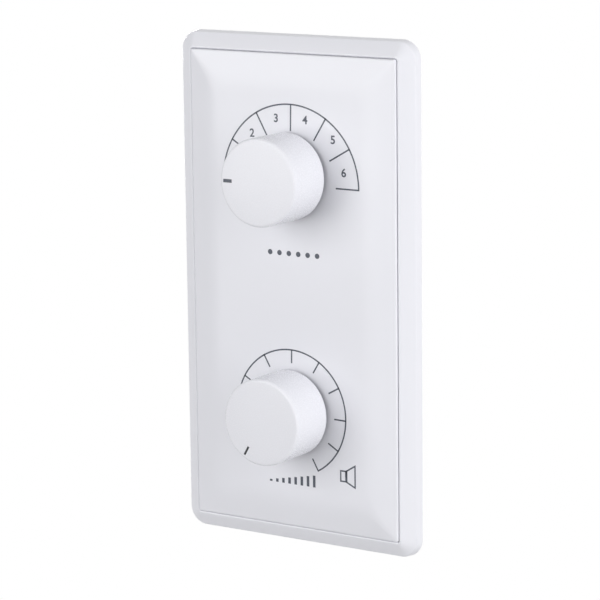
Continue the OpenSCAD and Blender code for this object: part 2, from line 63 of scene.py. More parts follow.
def out_of_wall(node):
    """Lowest and highest z of a solid in the drawing, in millimetres."""
    low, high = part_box(node)
    return -high.y / MM, -low.y / MM


frame_low, frame_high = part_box("surround_frame")
frame_w = (frame_high.x - frame_low.x) / MM
frame_h = (frame_high.z - frame_low.z) / MM
face_z = out_of_wall("cover_plate")[1]
box_pitch = 71.0
shafts = {"program": box_pitch / 2, "volume": -box_pitch / 2}
print("frame %.1f x %.1f mm, plate face %.2f mm out of the wall" % (frame_w, frame_h, face_z))

# %% [markdown]
# ## The camera
# The photograph was taken from the right and a little above with a long lens, which keeps the plate's sides
# nearly parallel. Its place was found by fitting a camera to the dials and the edges of the plate. Building
# the camera's matrix from its own right, up and back directions is surer than typing angles.

# %% Camera
azimuth, elevation, roll = 33.17, 10.90, math.radians(-0.68)
focal_pixels, image_pixels = 2777.4, 600
distance = 827.4
aim = Vector((0, 0, -1.58))
aim_pixel = Vector((303.45, 296.17))


def towards(turn, lift):
    """The direction out of the wall, turned to the right and lifted by that many degrees."""
    turn, lift = math.radians(turn), math.radians(lift)
    return Vector((math.sin(turn) * math.cos(lift), -math.cos(turn) * math.cos(lift), math.sin(lift)))


def placed(name, data):
    """A new object in the scene."""
    thing = bpy.data.objects.new(name, data)
    bpy.context.scene.collection.objects.link(thing)
    return thing


back = towards(azimuth, elevation)
right = towards(azimuth + 90, 0)
up = back.cross(right)
right, up = (right * math.cos(roll) + up * math.sin(roll),
             up * math.cos(roll) - right * math.sin(roll))
off_centre = (aim_pixel - Vector((image_pixels / 2, image_pixels / 2))) * distance / focal_pixels
eye = aim + back * distance - right * off_centre.x + up * off_centre.y

camera = placed("camera", bpy.data.cameras.new("camera"))
camera.data.sensor_width = 36
camera.data.lens = focal_pixels / image_pixels * camera.data.sensor_width
camera.data.clip_start = 0.01
camera.matrix_world = Matrix.Translation(eye * MM) @ Matrix((right, up, back)).transposed().to_4x4()
bpy.context.scene.camera = camera
print("camera at", [round(v, 3) for v in camera.location], "lens %.1f mm" % camera.data.lens)

# %% [markdown]
# ## Wiring nodes from a script
# Shader trees and geometry trees are built in the same way: add a node, set its options, then give each
# input a value or a wire. A few small functions keep the trees below as short as a recipe.

# %% Node helpers


def add(tree, kind, wires=None, **options):
    """A new node with its options set, and each input given a value or wired to a socket."""
    node = tree.nodes.new(kind)
    for name, value in options.items():
        setattr(node, name, value)
    for key, value in (wires or {}).items():
        if isinstance(value, bpy.types.NodeSocket):
            tree.links.new(value, node.inputs[key])
        else:
            node.inputs[key].default_value = value
    return node


def first_out(tree, kind, wires=None, **options):
    """The first output of a new node, which is the one that most nodes are added for."""
    return add(tree, kind, wires, **options).outputs[0]


def math_of(tree, operation, *values):
    """The result of a Math node."""
    return first_out(tree, "ShaderNodeMath", dict(enumerate(values)), operation=operation)


def vector_of(tree, **sides):
    """A vector from its X, Y and Z, of which those that aren't given are 0."""
    return first_out(tree, "ShaderNodeCombineXYZ", sides)


def mix_of(tree, factor, one, other):
    """A colour between two others."""
    mix = add(tree, "ShaderNodeMix", {"Factor": factor, "A": one, "B": other}, data_type="RGBA")
    return mix.outputs["Result"]


def new_tree(name, kind, inputs, outputs):
    """A node group with named inputs (label, type, value) and outputs (label, type)."""
    tree = bpy.data.node_groups.new(name, kind)
    for label, socket, value in inputs:
        made = tree.interface.new_socket(label, in_out="INPUT", socket_type="NodeSocket" + socket)
        if value is not None:
            made.default_value = value
    for label, socket in outputs:
        tree.interface.new_socket(label, in_out="OUTPUT", socket_type="NodeSocket" + socket)
    return tree, tree.nodes.new("NodeGroupInput").outputs, tree.nodes.new("NodeGroupOutput").inputs


print("node helpers ready")

# %% Pattern helpers


def in_millimetres(tree):
    """Object coordinates in millimetres, so that a pattern's size can be written as it is."""
    place = add(tree, "ShaderNodeTexCoord").outputs["Object"]
    return first_out(tree, "ShaderNodeVectorMath", {0: place, "Scale": 1 / MM}, operation="SCALE")


def noise(tree, place, size, detail=2, stretch=None):
    """Noise whose blobs are about size millimetres, drawn out along an axis if stretch is given."""
    if stretch is not None:
        place = first_out(tree, "ShaderNodeVectorMath", {0: place, 1: stretch}, operation="MULTIPLY")
    if isinstance(size, bpy.types.NodeSocket):
        scale = math_of(tree, "DIVIDE", 1, size)
    else:
        scale = 1 / size
    return first_out(tree, "ShaderNodeTexNoise", {"Vector": place, "Scale": scale, "Detail": detail})


def spread_about(tree, value, middle, spread):
    """middle plus or minus half of spread, following a value that runs from 0 to 1."""
    low = math_of(tree, "MULTIPLY_ADD", spread, -0.5, middle)
    return math_of(tree, "MULTIPLY_ADD", value, spread, low)


print("pattern helpers ready")

# %% [markdown]
# ## Effects that several finishes share
# Moulded plastic is never a mirror: the mould leaves a faint long ripple and a fine grain. Plated and rolled
# metal has streaks along the sheet. Both kinds also change tone a little from place to place. Each effect is
# one node group, so a finish only sets its own sizes and colours.

# %% Effect groups
moulded_skin, given, result = new_tree(
    "Moulded Skin", "ShaderNodeTree",
    [("Grain Size", "Float", 0.25), ("Ripple Size", "Float", 9.0),
     ("Roughness", "Float", 0.3), ("Roughness Spread", "Float", 0.06)],
    [("Roughness", "Float"), ("Height", "Float")])
ripple_to_grain = 3.0
place = in_millimetres(moulded_skin)
ripple = noise(moulded_skin, place, given["Ripple Size"], 1)
grain = noise(moulded_skin, place, given["Grain Size"], 3)
rough = spread_about(moulded_skin, grain, given["Roughness"], given["Roughness Spread"])
moulded_skin.links.new(rough, result["Roughness"])
height = math_of(moulded_skin, "MULTIPLY_ADD", ripple, ripple_to_grain, grain)
moulded_skin.links.new(height, result["Height"])

slow_tone, given, result = new_tree(
    "Slow Tone", "ShaderNodeTree",
    [("Color", "Color", None), ("Other Color", "Color", None), ("Patch Size", "Float", 40.0)],
    [("Color", "Color")])
patch = noise(slow_tone, in_millimetres(slow_tone), given["Patch Size"], 2)
slow_tone.links.new(mix_of(slow_tone, patch, given["Color"], given["Other Color"]), result["Color"])

metal_grain, given, result = new_tree(
    "Metal Grain", "ShaderNodeTree",
    [("Color", "Color", None), ("Streak Color", "Color", None), ("Streak Size", "Float", 0.4),
     ("Stretch", "Vector", (0.05, 1, 1)), ("Roughness", "Float", 0.35), ("Roughness Spread", "Float", 0.15)],
    [("Color", "Color"), ("Roughness", "Float"), ("Height", "Float")])
cloud_size = 6.0
place = in_millimetres(metal_grain)
streak = noise(metal_grain, place, given["Streak Size"], 3, given["Stretch"])
cloud = noise(metal_grain, place, cloud_size, 3)
tone = math_of(metal_grain, "MULTIPLY", streak, cloud)
tone = first_out(metal_grain, "ShaderNodeMapRange", {"Value": tone, "From Min": 0.1, "From Max": 0.5})
metal_grain.links.new(mix_of(metal_grain, tone, given["Color"], given["Streak Color"]), result["Color"])
rough = spread_about(metal_grain, cloud, given["Roughness"], given["Roughness Spread"])
metal_grain.links.new(rough, result["Roughness"])
metal_grain.links.new(streak, result["Height"])
print("effects:", [g.name for g in bpy.data.node_groups])

# %% [markdown]
# ## Finishes
# Every material slot of the solids gets a finish of its own. A finish is a Principled shader whose colour and
# roughness come from the shared effects, with a Bump node for the fine relief. Values that are the same all
# over, such as how metallic it is, are typed straight into the shader.

# %% Finish helpers
finishes = {}


def new_finish(slot, **uniform):
    """A node material for one slot, with the shader's uniform values set."""
    material = bpy.data.materials.new(slot + "_finish")
    material.use_nodes = True
    shader = material.node_tree.nodes["Principled BSDF"]
    for name, value in uniform.items():
        shader.inputs[name.replace("_", " ")].default_value = value
    finishes[slot] = material
    return material.node_tree, shader.inputs


def shared(tree, group, values):
    """The outputs of a shared effect, placed in a finish with its own values."""
    return add(tree, "ShaderNodeGroup", values, node_tree=group).outputs


def relief(tree, height, depth):
    """A bump of that depth in millimetres."""
    bump = add(tree, "ShaderNodeBump", {"Height": height, "Strength": 1, "Distance": depth * MM})
    return bump.outputs["Normal"]


def surface(tree, shader, color, skin, depth):
    """Wires a colour, and a skin's roughness and relief, to the shader of a finish."""
    tree.links.new(color, shader["Base Color"])
    tree.links.new(skin["Roughness"], shader["Roughness"])
    tree.links.new(relief(tree, skin["Height"], depth), shader["Normal"])


def moulded(slot, color, other, rough,
            grain=0.25, ripple=9.0, depth=0.0006, spread=0.06, patch=45.0, **uniform):
    """A plastic or ink between two tones, with grain, ripple, depth and patch in millimetres."""
    tree, shader = new_finish(slot, **uniform)
    tone = shared(tree, slow_tone, {"Color": (*color, 1), "Other Color": (*other, 1), "Patch Size": patch})
    skin = shared(tree, moulded_skin, {"Grain Size": grain, "Ripple Size": ripple,
                                       "Roughness": rough, "Roughness Spread": spread})
    surface(tree, shader, tone["Color"], skin, depth)


def metal(slot, color, streak, rough,
          size=0.4, stretch=(0.05, 1, 1), depth=0.002, spread=0.15, **uniform):
    """A metal with streaks of that size in millimetres, drawn out along the axis that stretch makes small."""
    tree, shader = new_finish(slot, Metallic=1.0, **uniform)
    skin = shared(tree, metal_grain, {"Color": (*color, 1), "Streak Color": (*streak, 1), "Streak Size": size,
                                      "Stretch": stretch, "Roughness": rough, "Roughness Spread": spread})
    surface(tree, shader, skin["Color"], skin, depth)


print("finish helpers ready")

# %% [markdown]
# ## Plastics and ink
# Frame, plate and knobs are the same glossy white with a breath of blue, moulded in polished tools. Behind
# the wall there are duller plastics: phenolic for the switch, nylon for the rotors and a green terminal
# block. The print is a slate grey ink that lies in a thin, slightly uneven film. The last two looks are for
# the boards: white print, and copper tracks that show a lighter green under the lacquer.

# %% Plastics and ink
moulded("white_plastic", (0.765, 0.768, 0.812), (0.755, 0.758, 0.804), 0.30, IOR=1.5)
moulded("knob_plastic", (0.765, 0.768, 0.812), (0.752, 0.754, 0.800), 0.27,
        ripple=6.0, depth=0.0003, IOR=1.5)
moulded("phenolic", (0.020, 0.017, 0.016), (0.034, 0.028, 0.025), 0.42, grain=0.12, depth=0.004, patch=3)
moulded("rotor_plastic", (0.028, 0.029, 0.032), (0.018, 0.019, 0.021), 0.36, grain=0.3, patch=6)
moulded("terminal_plastic", (0.075, 0.330, 0.115), (0.060, 0.290, 0.100), 0.38,
        grain=0.3, depth=0.003, patch=8)
moulded("resistor_body", (0.022, 0.022, 0.024), (0.038, 0.038, 0.040), 0.55,
        grain=0.08, depth=0.003, patch=0.5)
moulded("carbon_track", (0.030, 0.027, 0.025), (0.050, 0.045, 0.040), 0.62, grain=0.06, depth=0.003, patch=1)
moulded("pointer_ink", (0.052, 0.060, 0.082), (0.066, 0.075, 0.100), 0.45, grain=0.1, depth=0.002, patch=0.8)
moulded("black_ink", (0.011, 0.012, 0.015), (0.016, 0.017, 0.022), 0.45, grain=0.1, depth=0.002, patch=0.8)
moulded("board_print", (0.66, 0.66, 0.62), (0.57, 0.57, 0.53), 0.6, grain=0.1, depth=0.002, patch=1.0)
moulded("board_copper", (0.026, 0.155, 0.066), (0.020, 0.130, 0.056), 0.3,
        grain=0.3, patch=2.0, Coat_Weight=0.35)
print("plastics and ink:", sorted(finishes))

# %% [markdown]
# ## Metals
# The support rings are zinc plated sheet, with streaks along the sheet and a faint yellow and blue cast from
# the passivation. Nuts and spacers are nickel on brass, the bushings are die cast, shafts are drawn steel,
# and contacts are bronze. They share one group, and differ in colour, streak and roughness.

# %% Metals
metal("zinc_steel", (0.62, 0.63, 0.64), (0.50, 0.51, 0.50), 0.38, size=0.5, Specular_Tint=(0.95, 0.98, 1, 1))
metal("plain_steel", (0.56, 0.57, 0.58), (0.47, 0.48, 0.49), 0.30, size=0.25, stretch=(1, 0.06, 1))
metal("spring_steel", (0.45, 0.45, 0.46), (0.33, 0.33, 0.35), 0.26, size=0.2)
metal("nickel_brass", (0.66, 0.62, 0.54), (0.57, 0.53, 0.45), 0.28, size=0.3, stretch=(1, 0.2, 1))
metal("die_cast_zinc", (0.50, 0.51, 0.53), (0.40, 0.41, 0.43), 0.47,
      size=0.35, stretch=(1, 1, 1), depth=0.006)
metal("contact_bronze", (0.63, 0.42, 0.20), (0.52, 0.33, 0.15), 0.27, size=0.15)
metal("tinned_metal", (0.72, 0.72, 0.72), (0.60, 0.61, 0.62), 0.33, size=0.3, stretch=(1, 1, 1))
print("with the metals there are", len(finishes), "finishes")

# %% [markdown]
# ## The circuit board's finish
# A board is woven glass in resin under a green lacquer. Two crossed waves make the weave, which shows through
# the lacquer as a faint change of tone, and the lacquer itself is smooth and glossy. This finish is used by
# the boards only, so its nodes sit in the material.

# %% Board laminate
weave_depth = 0.01
tree, shader = new_finish("board_laminate", Coat_Weight=0.35, Coat_Roughness=0.12)
place = in_millimetres(tree)
threads = []
for direction in ("X", "Z"):
    wave = add(tree, "ShaderNodeTexWave",
               {"Vector": place, "Scale": 0.55, "Distortion": 1.2, "Detail Scale": 0.6},
               bands_direction=direction)
    threads.append(wave.outputs["Fac"])
weave = math_of(tree, "MULTIPLY", *threads)
lacquer = mix_of(tree, weave, (0.010, 0.070, 0.032, 1), (0.016, 0.100, 0.046, 1))
skin = shared(tree, moulded_skin,
              {"Grain Size": 0.4, "Ripple Size": 2.5, "Roughness": 0.32, "Roughness Spread": 0.1})
surface(tree, shader, lacquer, {"Roughness": skin["Roughness"], "Height": weave}, weave_depth)
print("laminate with", len(tree.nodes), "nodes")

# %% [markdown]
# ## Dressing the solids
# The solids arrive with one plain material each, named after its slot. Swapping that material for the finish
# of the same name dresses them all at once, and their shapes stay untouched.

# %% Dress the solids
for node in nodes.values():
    for slot in node.material_slots:
        slot.material = finishes[slot.material.name.split(".")[0]]
print("dressed", len(nodes), "solids with", len(finishes), "finishes")

# %% [markdown]
# ## Making pieces
# New pieces start as plain lists or as small meshes. A piece is finished in the same few steps: stand it on
# the wall, shade it smooth except at sharp edges, tie it to the body that carries it, give it its finish and
# hide the solid it stands for.

# %% Piece helpers


def finished(name, mesh, body, slot, stands_for=(), lift=0.0, sharp=32, look=None):
    """Stands a drawn mesh on the wall, raised by lift along the wall, and makes it a piece of a body.
    It wears its slot's finish, or the one that look names, and edges over sharp degrees stay sharp."""
    mesh.transform(ON_WALL @ Matrix.Translation((0, lift, 0)))
    mesh.materials.clear()
    mesh.materials.append(finishes[look or slot])
    mesh.polygons.foreach_set("use_smooth", [True] * len(mesh.polygons))
    mesh.set_sharp_from_angle(angle=math.radians(sharp))
    piece = placed(name, mesh)
    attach(piece, body)
    if stands_for:
        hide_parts(*stands_for)
    return piece


def to_mesh(bm, name, outward=True):
    """A plain mesh from an edited one, with its faces turned outwards."""
    if outward:
        bmesh.ops.recalc_face_normals(bm, faces=bm.faces)
    mesh = bpy.data.meshes.new(name)
    bm.to_mesh(mesh)
    bm.free()
    return mesh


def joined(name, meshes):
    """One mesh out of several."""
    bm = bmesh.new()
    for mesh in meshes:
        bm.from_mesh(mesh)
    return to_mesh(bm, name, outward=False)


def evaluated(holder):
    """The plain mesh that an object shows; the object itself is removed."""
    mesh = bpy.data.meshes.new_from_object(holder.evaluated_get(bpy.context.evaluated_depsgraph_get()))
    bpy.data.objects.remove(holder)
    return mesh


def grown(name, tree, values, base):
    """The plain mesh that a geometry tree makes from a base mesh, with inputs set by their labels."""
    holder = placed(name, base)
    modifier = holder.modifiers.new(name, "NODES")
    modifier.node_group = tree
    for item in tree.interface.items_tree:
        if item.in_out == "INPUT" and item.name in values:
            modifier[item.identifier] = values[item.name]
    return evaluated(holder)


print("piece helpers ready")

# %% Outlines


def arc(centre, radius, start, turn, steps):
    """Points of an arc in the drawing plane, angles in degrees."""
    angles = [math.radians(start + turn * i / steps) for i in range(steps + 1)]
    return [(centre[0] + radius * math.cos(a), centre[1] + radius * math.sin(a)) for a in angles]


def circle(centre, radius, steps):
    """Points round a circle."""
    return arc(centre, radius, 0, 360 - 360 / steps, steps - 1)


def on_ring(radius, angle):
    """The point at that angle round the origin."""
    return (radius * math.cos(math.radians(angle)), radius * math.sin(math.radians(angle)))


def oblong(left, bottom, right_end, top):
    """The corners of a rectangle."""
    return [(left, bottom), (right_end, bottom), (right_end, top), (left, top)]


def rounded(a, b, c, radius, steps):
    """Points of an arc that rounds the corner b of the outline a, b, c."""
    a, b, c = Vector(a), Vector(b), Vector(c)
    u, w = (a - b).normalized(), (c - b).normalized()
    half = u.angle(w) / 2
    centre = b + (u + w).normalized() * radius / math.sin(half)
    start = b + u * radius / math.tan(half) - centre
    end = b + w * radius / math.tan(half) - centre
    turn = math.degrees(math.atan2(start.x * end.y - start.y * end.x, start.dot(end)))
    return arc(centre, radius, math.degrees(math.atan2(start.y, start.x)), turn, steps)


print("outline helpers ready")

# %% Meshes from outlines


def bridge(bm, one, two):
    """Faces between two closed loops with the same number of points."""
    for i in range(len(one)):
        j = (i + 1) % len(one)
        bm.faces.new((one[i], one[j], two[j], two[i]))


def fill(bm, loops):
    """A flat face inside the first loop, with the other loops as holes."""
    edges = []
    for loop in loops:
        for i in range(len(loop)):
            pair = (loop[i], loop[(i + 1) % len(loop)])
            edges.append(bm.edges.get(pair) or bm.edges.new(pair))
    bmesh.ops.triangle_fill(bm, edges=edges, use_beauty=True)


def solid(outline, low, high):
    """A closed prism on an outline of the drawing plane."""
    bm = bmesh.new()
    foot = bm.faces.new([bm.verts.new((x, y, low)) for x, y in outline])
    made = bmesh.ops.extrude_face_region(bm, geom=[foot])["geom"]
    top = [part for part in made if isinstance(part, bmesh.types.BMVert)]
    bmesh.ops.translate(bm, vec=(0, 0, high - low), verts=top)
    return to_mesh(bm, "solid")


def between(outer, inner, low, high):
    """A closed flat ring between two outlines with the same number of points."""
    bm = bmesh.new()
    loops = [[bm.verts.new((x, y, z)) for x, y in line] for line, z in
             ((outer, low), (outer, high), (inner, high), (inner, low))]
    for one, two in zip(loops, loops[1:] + loops[:1]):
        bridge(bm, one, two)
    return to_mesh(bm, "ring")


def turned(profile, steps):
    """A lathe shape from (radius, z) points, and its rings; a radius of 0 is a pole."""
    bm = bmesh.new()
    rings = []
    for radius, z in profile:
        count = steps if radius > 0 else 1
        angles = [2 * math.pi * i / steps for i in range(count)]
        rings.append([bm.verts.new((radius * math.cos(a), radius * math.sin(a), z)) for a in angles])
    for one, two in zip(rings, rings[1:]):
        for i in range(steps):
            j = i + 1
            corners = [one[i % len(one)], one[j % len(one)], two[j % len(two)], two[i % len(two)]]
            bm.faces.new(list(dict.fromkeys(corners)))
    return bm, rings


print("mesh helpers ready")

# %% [markdown]
# ## Geometry trees
# A shape that repeats or follows a path comes from a geometry tree. Every tree here has the same form: it
# takes one base shape and a few named sizes, and ends in two nodes that turn instances into plain mesh and
# give it its finish. The functions below hold what the trees have in common: their inputs, their end, a
# line of copies and a flat strip along a curve.

# %% Geometry tree helpers
SOCKETS = {int: "Int", float: "Float", type(None): "Material"}


def geometry_tree(name, base, sizes):
    """A geometry tree for a base shape, with an input for each size; None stands for a material."""
    inputs = [(base, "Geometry", None)]
    inputs += [(label, SOCKETS[type(value)], value) for label, value in sizes.items()]
    return new_tree(name, "GeometryNodeTree", inputs, [("Geometry", "Geometry")])


def join_of(tree, *shapes):
    """Several shapes of a tree as one."""
    join = add(tree, "GeometryNodeJoinGeometry")
    for shape in shapes:
        tree.links.new(shape, join.inputs[0])
    return join.outputs[0]


def copies(tree, count, shape, start=(0, 0, 0), offset=(0, 0, 0), **each):
    """Copies of a shape at count points on a line, each with its own Rotation or Scale where given."""
    points = first_out(tree, "GeometryNodeMeshLine",
                       {"Count": count, "Start Location": start, "Offset": offset})
    return first_out(tree, "GeometryNodeInstanceOnPoints", {"Points": points, "Instance": shape, **each})


def flat_strip(tree, curve, width, thickness):
    """A flat strip along a curve, with closed ends."""
    curve = first_out(tree, "GeometryNodeSetCurveNormal", {"Curve": curve}, mode="Z_UP")
    section = first_out(tree, "GeometryNodeCurvePrimitiveQuadrilateral",
                        {"Width": width, "Height": thickness})
    return first_out(tree, "GeometryNodeCurveToMesh",
                     {"Curve": curve, "Profile Curve": section, "Fill Caps": True})


def end_tree(tree, shape, material, result):
    """Ends a tree: instances become plain mesh, and the mesh gets its material."""
    shape = first_out(tree, "GeometryNodeRealizeInstances", {"Geometry": shape})
    shape = first_out(tree, "GeometryNodeSetMaterial", {"Geometry": shape, "Material": material})
    tree.links.new(shape, result[0])


print("geometry tree helpers ready")

# %% [markdown]
# ## The frame
# The double frame is one section carried round a rounded rectangle: a side wall with a little draft, a soft
# shoulder, a slope up to the lip beside the plate, and a hollow channel behind. That is a sweep, so a
# geometry tree makes the path from the frame's size and runs the section along it. Small braces cross the
# channel at an even pitch, which is a row of instances. A ledge inside carries the plate.

# %% Frame section
border_w, side_h, lip_h, draft, wall = 5.25, 2.6, 5.4, 0.35, 1.6
corner_r, shoulder_r, lip_r = 5.9, 0.9, 0.5
corner_steps, round_steps = 16, 8
opening_r = corner_r - border_w
foot, shoulder, lip, heel = (0, 0), (draft, side_h), (border_w, lip_h), (border_w, 0)
channel_top = side_h - wall / 2
channel_in = border_w - wall
section = ([foot]
           + rounded(foot, shoulder, lip, shoulder_r, round_steps)
           + rounded(shoulder, lip, heel, lip_r, round_steps)
           + [heel, (channel_in, 0), (channel_in, channel_top), (wall + draft, channel_top), (wall, 0)])
section_mesh = bpy.data.meshes.new("section")
section_mesh.from_pydata([(-x, -z, 0) for x, z in section],
                         [(i, (i + 1) % len(section)) for i in range(len(section))], [])
print("frame section with", len(section), "points")

# %% Frame sweep
sweep, given, result = geometry_tree(
    "Frame Sweep", "Section",
    {"Width": 0.0, "Height": 0.0, "Corner Radius": 0.0, "Corner Steps": corner_steps})
path = first_out(sweep, "GeometryNodeCurvePrimitiveQuadrilateral",
                 {"Width": given["Width"], "Height": given["Height"]})
path = first_out(sweep, "GeometryNodeFilletCurve",
                 {"Curve": path, "Count": given["Corner Steps"], "Radius": given["Corner Radius"]},
                 mode="POLY")
path = first_out(sweep, "GeometryNodeSetCurveNormal", {"Curve": path}, mode="Z_UP")
profile = first_out(sweep, "GeometryNodeMeshToCurve", {"Mesh": given["Section"]})
border = first_out(sweep, "GeometryNodeCurveToMesh", {"Curve": path, "Profile Curve": profile})
end_tree(sweep, border, finishes["white_plastic"], result)

border_sizes = {"Width": frame_w, "Height": frame_h, "Corner Radius": corner_r, "Corner Steps": corner_steps}
bm = bmesh.new()
bm.from_mesh(grown("frame_border", sweep, border_sizes, section_mesh))
border_mesh = to_mesh(bm, "border")
print("frame border with", len(border_mesh.polygons), "faces")

# %% Brace tree
row, given, result = geometry_tree("Brace Row", "Brace", {"Count": 1, "Pitch": 0.0, "Edge": 0.0})
span = math_of(row, "MULTIPLY", math_of(row, "ADD", given["Count"], -1.0), given["Pitch"])
start = vector_of(row, X=given["Edge"], Y=math_of(row, "MULTIPLY", span, -0.5))
side = copies(row, given["Count"], given["Brace"], start, vector_of(row, Y=given["Pitch"]))
other = first_out(row, "GeometryNodeTransform", {"Geometry": side, "Rotation": (0, 0, math.pi)})
end_tree(row, join_of(row, side, other), finishes["white_plastic"], result)
print("brace tree with", len(row.nodes), "nodes")

# %% Braces
brace_t, brace_pitch = 1.0, 22.0
inside = 0.15
brace_outline = [(wall, inside), (wall + draft, channel_top + inside),
                 (channel_in, channel_top + inside), (channel_in, inside)]
brace = solid(brace_outline, -brace_t / 2, brace_t / 2)
brace.transform(Matrix.Rotation(math.radians(90), 4, "X"))
brace.transform(Matrix.Scale(-1, 4, (1, 0, 0)))
brace.flip_normals()
rows = []
for length, edge, quarter in ((frame_h, frame_w / 2, 0), (frame_w, frame_h / 2, 90)):
    count = int((length - 2 * corner_r) // brace_pitch)
    made = grown("braces", row, {"Count": count, "Pitch": brace_pitch, "Edge": edge}, brace)
    made.transform(Matrix.Rotation(math.radians(quarter), 4, "Z"))
    rows.append(made)
print("braces:", sum(len(m.polygons) for m in rows) // 6)

# %% Frame piece
easy = 0.3
ring_t, ledge_w, ledge_t, ledge_r, ledge_steps = 1.2, 2.6, 1.2, 0.3, 6
ledge_low = ring_t + easy
ledge_top = ledge_low + ledge_t
opening_w, opening_h = frame_w - 2 * border_w, frame_h - 2 * border_w


def rounded_rectangle(width, height, radius, steps, straight=()):
    """Points round a rectangle, with extra points at those distances from the ends of each straight run."""
    points = []
    for quarter, (x, y) in enumerate(((1, 1), (-1, 1), (-1, -1), (1, -1))):
        centre = (x * (width / 2 - radius), y * (height / 2 - radius))
        points += arc(centre, radius, 90 * quarter, 90, steps)
        along = Vector(((-1, 0), (0, -1), (1, 0), (0, 1))[quarter])
        run = (width if quarter % 2 == 0 else height) - 2 * radius
        start = Vector(points[-1])
        points += [tuple(start + along * d) for d in straight]
        points += [tuple(start + along * (run - d)) for d in reversed(straight)]
    return points


ledge = between(rounded_rectangle(opening_w + wall, opening_h + wall, opening_r + wall / 2, ledge_steps),
                rounded_rectangle(opening_w - 2 * ledge_w, opening_h - 2 * ledge_w, ledge_r, ledge_steps),
                ledge_low, ledge_top)
frame_piece = finished("surround_frame_skin", joined("frame", [border_mesh, ledge] + rows), "panel",
                       "white_plastic", ["surround_frame"])
print("frame piece with", len(frame_piece.data.polygons), "faces")

# %% [markdown]
# ## The cover plate
# The plate is a shallow tray whose face drops away in a bevel all round, with mitred hips at the corners and
# a soft crease where bevel meets face. Concentric loops are the natural mesh for it: each loop keeps one
# distance from the edge and one height, so hips fall where loops turn. Loops and columns close beside each
# curve hold the flat parts flat, which matters on a glossy surface. The plate sits a hair to the right and
# up in its opening, as a loose fit lets it, so the seam is finer on those two sides.

# %% Plate loops
seam, edge_z, bevel_w, plate_t, skirt_t = 0.12, 5.6, 8.2, 2.0, 1.5
plate_r, plate_edge_r, crease_r, crease_steps = opening_r - seam, 0.5, 30.0, 14
hip_softness = 0.3
off_right, off_up = 0.05, 0.05
beside, corner_columns = 0.4, (1.0, 4.0)
bevel_holds, face_hold, under_hold, foot_hold, brow_hold = (0.9, 3.0), 2.0, 1.0, 0.6, 1.0
plate_w, plate_h = opening_w - 2 * seam, opening_h - 2 * seam
under_z = face_z - plate_t
slope = (face_z - edge_z) / bevel_w
crease = (bevel_w, face_z)
edge = (0, edge_z)
bend = rounded(edge, crease, (2 * bevel_w, face_z), crease_r, crease_steps)
bend_start, bend_end = bend[0][0], bend[-1][0]
top_line = (rounded((0, ledge_top), edge, crease, plate_edge_r, round_steps)
            + [(inset, edge_z + inset * slope) for inset in (*bevel_holds, bend_start - beside)]
            + bend
            + [(bend_end + beside, face_z), (bend_end + face_hold, face_z)])
under_line = [(skirt_t + bevel_w + under_hold, under_z), (skirt_t + bevel_w, under_z),
              (skirt_t, edge_z - plate_t), (skirt_t, ledge_top), (0, ledge_top),
              (0, ledge_top + foot_hold), (0, edge_z - brow_hold)]
bm = bmesh.new()
loops = []
for inset, z in under_line + top_line:
    radius = plate_r + hip_softness * inset
    points = rounded_rectangle(plate_w - 2 * inset, plate_h - 2 * inset, radius, round_steps, corner_columns)
    loops.append([bm.verts.new((x + off_right, y + off_up, z)) for x, y in points])
for one, two in zip(loops, loops[1:]):
    bridge(bm, one, two)
print("plate loops:", len(loops), "of", len(loops[0]), "points")

# %% Plate face and bushing holes
hole_r, hole_steps = 5.3, 48
holes = []
for z in (face_z, under_z):
    holes.append([[bm.verts.new((x, y, z)) for x, y in circle((0, lift), hole_r, hole_steps)]
                  for lift in shafts.values()])
fill(bm, [loops[-1]] + holes[0])
fill(bm, [loops[0]] + holes[1])
for upper, lower in zip(*holes):
    bridge(bm, upper, lower)
plate_mesh = to_mesh(bm, "plate")
print("plate mesh with", len(plate_mesh.polygons), "faces")

# %% Bosses and ribs under the plate
boss_in, boss_out, boss_steps = 8.38, 9.98, 64
rib_half, rib_depth, rib_room = 0.5, 1.4, 8
bite = 0.2
rib_x = boss_out + rib_room
rib_run = plate_h / 2 - skirt_t - bevel_w
cross_run = plate_w / 2 - skirt_t - bevel_w
stiffeners = []
for lift in shafts.values():
    stiffeners.append(between(circle((0, lift), boss_out, boss_steps), circle((0, lift), boss_in, boss_steps),
                              ring_t, under_z + bite))
for outline in (oblong(-rib_x - rib_half, -rib_run, -rib_x + rib_half, rib_run),
                oblong(rib_x - rib_half, -rib_run, rib_x + rib_half, rib_run),
                oblong(-cross_run, -rib_half, cross_run, rib_half)):
    stiffeners.append(solid(outline, under_z - rib_depth, under_z + bite))
plate_piece = finished("cover_plate_skin", joined("plate", [plate_mesh] + stiffeners), "panel",
                       "white_plastic", ["cover_plate"], sharp=30)
print("cover plate piece with", len(plate_piece.data.polygons), "faces")

# %% [markdown]
# ## The knobs
# A knob is a turned shape: a slightly tapered skirt, a small round at the foot, a softer one round the face,
# and inside a thin wall, a hub and its bore. Only the pointer's groove breaks the symmetry, so the face is
# left open by the lathe and filled round the groove. Ribs between hub and wall repeat round the axis, which
# a geometry tree does with instances.

